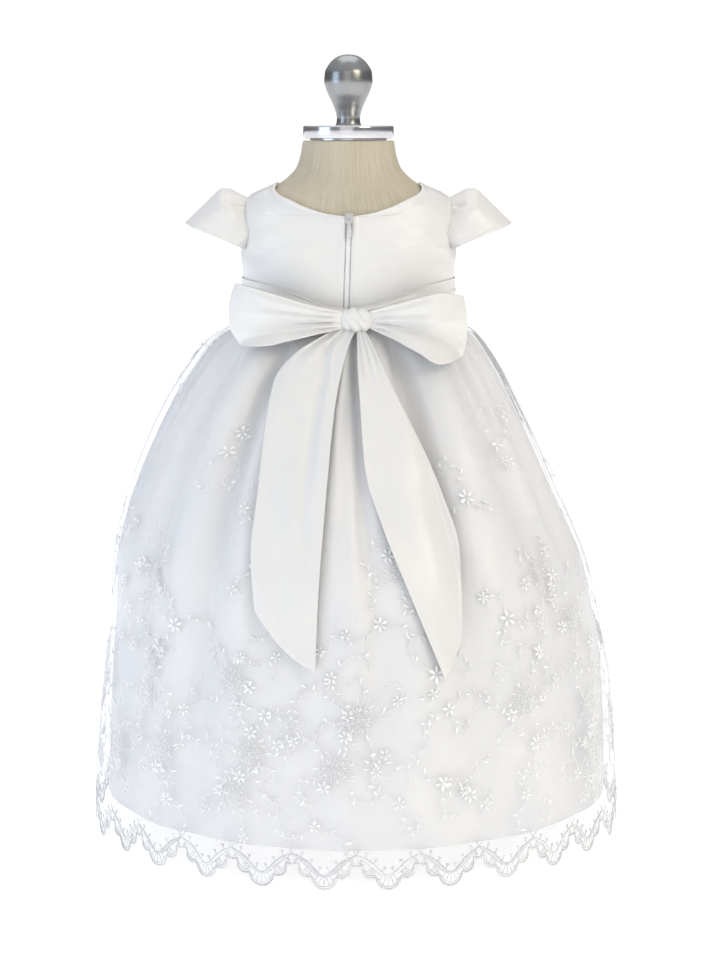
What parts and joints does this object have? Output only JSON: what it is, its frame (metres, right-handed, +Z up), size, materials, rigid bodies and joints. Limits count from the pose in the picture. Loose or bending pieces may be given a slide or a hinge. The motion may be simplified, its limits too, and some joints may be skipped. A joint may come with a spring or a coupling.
{
  "type": "christening gown on a dress form",
  "caption": "Baby's satin christening gown with cap sleeves, back zip, sash bow and scalloped net overskirt, on a limbless dress form with a round base.",
  "frame": {"origin": "centre of the form's base, on its underside, which rests on the floor", "axes": "+Z up, -Y the gown's back with its zip and bow, +Y its front, +X to the right of someone who looks at the back"},
  "size_m": [0.4673, 0.4662, 0.6745],
  "materials": {
    "satin": "white satin",
    "net": "fine white net, embroidered",
    "zip": "white nylon coil zip",
    "zip_metal": "white lacquered metal",
    "linen": "natural linen cover",
    "steel": "polished metal"
  },
  "bodies": {
    "gown_on_form": {"bodice_front": "satin", "bodice_back_left": "satin", "bodice_back_right": "satin", "sleeve_left": "satin", "sleeve_right": "satin", "underskirt_front": "satin", "underskirt_back": "satin", "overlay_front": "net", "overlay_back": "net", "sash_front": "satin", "sash_back_left": "satin", "sash_back_right": "satin", "bow_knot": "satin", "bow_loop_left": "satin", "bow_loop_right": "satin", "bow_tail_left": "satin", "bow_tail_right": "satin", "zip_chain": "zip", "zip_slider": "zip_metal", "form_torso": "linen", "form_neck_cap": "steel", "form_knob": "steel", "form_pole": "steel", "form_base": "steel"},
    "zip_pull": {"zip_pull": "zip_metal"}
  },
  "joints": [
    {"name": "pull_hinge", "type": "hinge", "parent": "gown_on_form", "child": "zip_pull", "pos_m": [0.00083, -0.06037, 0.53742], "axis": [-1, 0, 0], "range_deg": [0, 165]}
  ]
}
